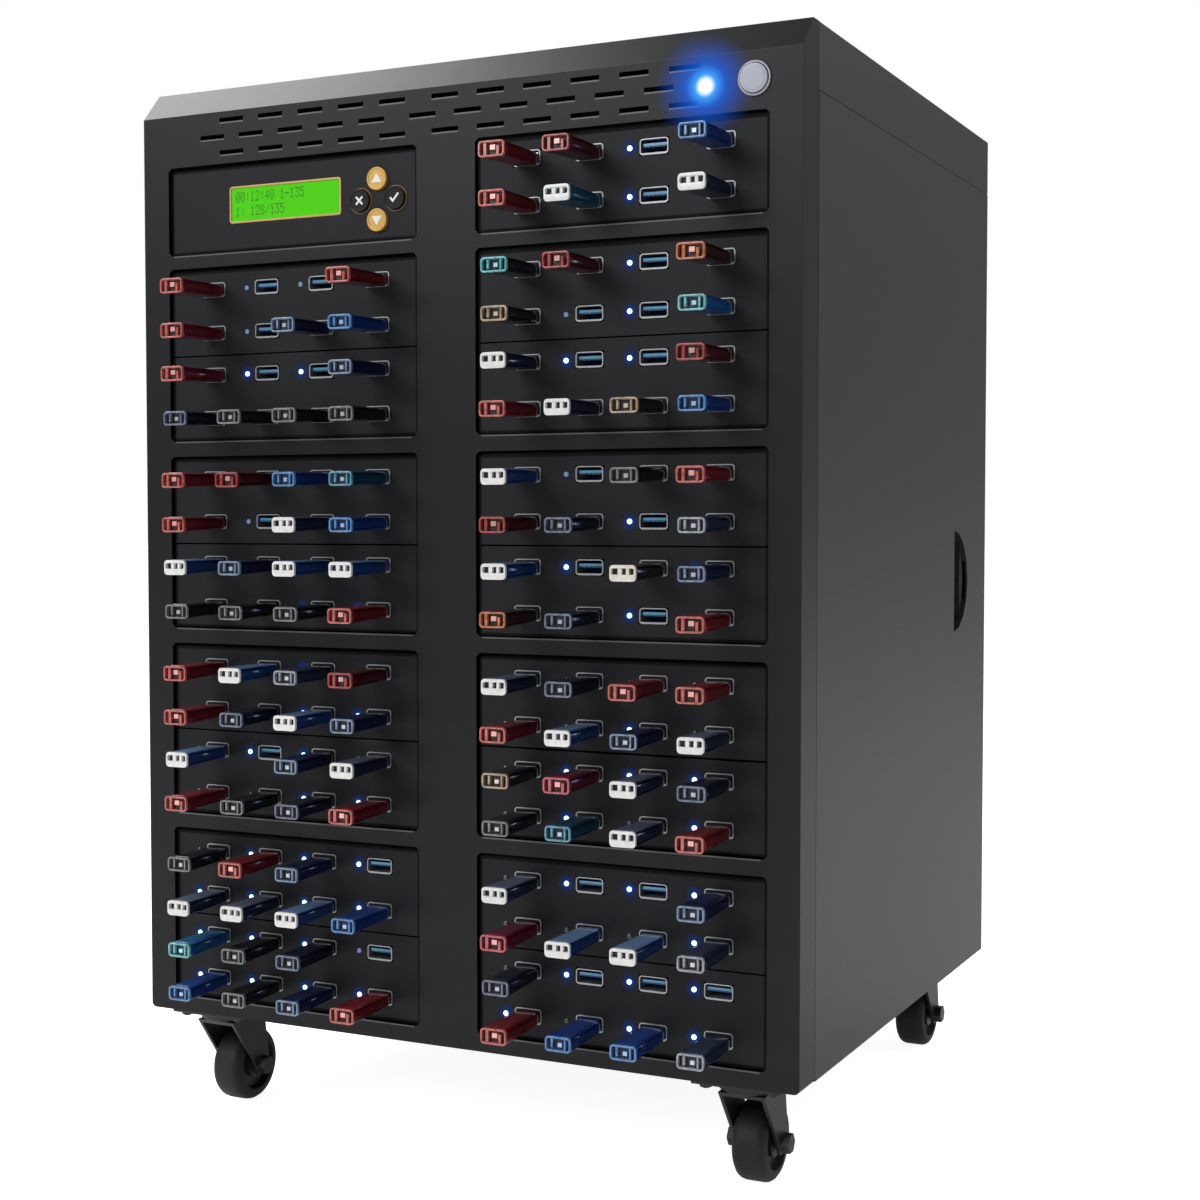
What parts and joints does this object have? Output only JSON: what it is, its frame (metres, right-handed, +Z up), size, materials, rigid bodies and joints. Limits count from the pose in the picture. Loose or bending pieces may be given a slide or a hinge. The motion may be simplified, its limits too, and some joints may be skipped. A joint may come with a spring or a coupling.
{
  "type": "drive duplicator",
  "caption": "Wheeled tower that copies a source stick: two columns of USB socket modules behind a moulded front, with a display, keys, sliding side panels and swivel casters.",
  "frame": {"origin": "on the floor under the middle of the whole part, midway between the tips of the longest sticks and the heads of the rear thumbscrews", "axes": "+X towards the part's right as seen from its front, +Y towards its back, +Z up"},
  "size_m": [0.3606, 0.358, 0.5315],
  "materials": {
    "bezel_plastic": "satin charcoal",
    "case_paint": "fine-textured black powder coat",
    "faceplate_plastic": "satin black",
    "zinc_sheet": "zinc-plated sheet",
    "socket_steel": "bright plated",
    "socket_blue": "blue moulding",
    "board_green": "solder mask",
    "light_blue": "clear blue lens",
    "stick_red": "gloss translucent red",
    "stick_blue": "gloss translucent blue",
    "stick_black": "gloss smoked black",
    "stick_white": "gloss white end",
    "lcd_green": "lit display window",
    "button_black": "satin black keycap",
    "button_gold": "gold keycap",
    "button_silver": "brushed silver",
    "caster_steel": "dark zinc",
    "caster_rubber": "hard black rubber",
    "bolt_steel": "bright plated",
    "fan_plastic": "black moulding",
    "switch_black": "black moulding"
  },
  "bodies": {
    "cabinet": {"front_bezel": "bezel_plastic", "base_pan": "case_paint", "top_cover": "case_paint", "rear_panel": "case_paint", "drive_cage": "zinc_sheet", "left_faceplates_1": "faceplate_plastic", "left_faceplates_2": "faceplate_plastic", "left_faceplates_3": "faceplate_plastic", "left_faceplates_4": "faceplate_plastic", "right_faceplates_1": "faceplate_plastic", "right_faceplates_2": "faceplate_plastic", "right_faceplates_3": "faceplate_plastic", "right_faceplates_4": "faceplate_plastic", "right_faceplates_5": "faceplate_plastic", "module_trays": "zinc_sheet", "module_boards": "board_green", "usb_sockets": "socket_steel", "socket_tongues": "socket_blue", "status_lights": "light_blue", "red_sticks": "stick_red", "blue_sticks": "stick_blue", "black_sticks": "stick_black", "white_ended_sticks": "stick_white", "control_panel_plate": "faceplate_plastic", "lcd_window": "lcd_green", "lcd_module": "board_green", "controller_board": "board_green", "power_button_ring": "button_black", "power_light": "light_blue", "caster_plates": "caster_steel", "power_supply": "zinc_sheet", "mains_inlet": "switch_black", "exhaust_fan_frame": "fan_plastic"},
    "left_panel": {"left_side_panel": "case_paint", "left_panel_thumbscrews": "bolt_steel"},
    "right_panel": {"right_side_panel": "case_paint", "right_panel_thumbscrews": "bolt_steel"},
    "power_button": {"power_button": "button_silver"},
    "up_button": {"up_button": "button_gold"},
    "down_button": {"down_button": "button_gold"},
    "escape_button": {"escape_button": "button_black"},
    "enter_button": {"enter_button": "button_black"},
    "mains_switch": {"mains_switch": "switch_black"},
    "exhaust_fan_rotor": {"exhaust_fan_rotor": "fan_plastic"},
    "source_stick": {"source_stick": "stick_red"},
    "caster_fork_front_left": {"caster_fork_front_left": "caster_steel"},
    "caster_wheel_front_left": {"caster_wheel_front_left": "caster_rubber"},
    "caster_fork_front_right": {"caster_fork_front_right": "caster_steel"},
    "caster_wheel_front_right": {"caster_wheel_front_right": "caster_rubber"},
    "caster_fork_rear_left": {"caster_fork_rear_left": "caster_steel"},
    "caster_wheel_rear_left": {"caster_wheel_rear_left": "caster_rubber"},
    "caster_fork_rear_right": {"caster_fork_rear_right": "caster_steel"},
    "caster_wheel_rear_right": {"caster_wheel_rear_right": "caster_rubber"}
  },
  "joints": [
    {"name": "front_left_caster_swivel", "type": "hinge", "parent": "cabinet", "child": "caster_fork_front_left", "pos_m": [-0.148, -0.122, 0.0475], "axis": [0, 0, 1], "continuous": true},
    {"name": "front_left_wheel_roll", "type": "hinge", "parent": "caster_fork_front_left", "child": "caster_wheel_front_left", "pos_m": [-0.148, -0.109, 0.019], "axis": [1, 0, 0], "continuous": true},
    {"name": "front_right_caster_swivel", "type": "hinge", "parent": "cabinet", "child": "caster_fork_front_right", "pos_m": [0.148, -0.122, 0.0475], "axis": [0, 0, 1], "continuous": true},
    {"name": "front_right_wheel_roll", "type": "hinge", "parent": "caster_fork_front_right", "child": "caster_wheel_front_right", "pos_m": [0.148, -0.109, 0.019], "axis": [1, 0, 0], "continuous": true},
    {"name": "rear_left_caster_swivel", "type": "hinge", "parent": "cabinet", "child": "caster_fork_rear_left", "pos_m": [-0.148, 0.137, 0.0475], "axis": [0, 0, 1], "continuous": true},
    {"name": "rear_left_wheel_roll", "type": "hinge", "parent": "caster_fork_rear_left", "child": "caster_wheel_rear_left", "pos_m": [-0.148, 0.15, 0.019], "axis": [1, 0, 0], "continuous": true},
    {"name": "rear_right_caster_swivel", "type": "hinge", "parent": "cabinet", "child": "caster_fork_rear_right", "pos_m": [0.148, 0.137, 0.0475], "axis": [0, 0, 1], "continuous": true},
    {"name": "rear_right_wheel_roll", "type": "hinge", "parent": "caster_fork_rear_right", "child": "caster_wheel_rear_right", "pos_m": [0.148, 0.15, 0.019], "axis": [1, 0, 0], "continuous": true},
    {"name": "power_button_press", "type": "slide", "parent": "cabinet", "child": "power_button", "axis": [0, 1, 0], "range_m": [0, 0.002], "stiffness_N_per_m": 600, "springref_m": -0.001},
    {"name": "up_button_press", "type": "slide", "parent": "cabinet", "child": "up_button", "axis": [0, 1, 0], "range_m": [0, 0.001], "stiffness_N_per_m": 600, "springref_m": -0.001},
    {"name": "down_button_press", "type": "slide", "parent": "cabinet", "child": "down_button", "axis": [0, 1, 0], "range_m": [0, 0.001], "stiffness_N_per_m": 600, "springref_m": -0.001},
    {"name": "escape_button_press", "type": "slide", "parent": "cabinet", "child": "escape_button", "axis": [0, 1, 0], "range_m": [0, 0.001], "stiffness_N_per_m": 600, "springref_m": -0.001},
    {"name": "enter_button_press", "type": "slide", "parent": "cabinet", "child": "enter_button", "axis": [0, 1, 0], "range_m": [0, 0.001], "stiffness_N_per_m": 600, "springref_m": -0.001},
    {"name": "mains_switch_rock", "type": "hinge", "parent": "cabinet", "child": "mains_switch", "pos_m": [-0.1445, 0.1674, 0.497], "axis": [-1, 0, 0], "range_deg": [0, 20]},
    {"name": "exhaust_fan_spin", "type": "hinge", "parent": "cabinet", "child": "exhaust_fan_rotor", "pos_m": [0.092, 0.1604, 0.439], "axis": [0, 1, 0], "continuous": true},
    {"name": "left_panel_slide", "type": "slide", "parent": "cabinet", "child": "left_panel", "axis": [0, 1, 0], "range_m": [0, 0.025]},
    {"name": "right_panel_slide", "type": "slide", "parent": "cabinet", "child": "right_panel", "axis": [0, 1, 0], "range_m": [0, 0.025]},
    {"name": "source_stick_pull", "type": "slide", "parent": "cabinet", "child": "source_stick", "axis": [0, -1, 0], "range_m": [0, 0.05]}
  ]
}
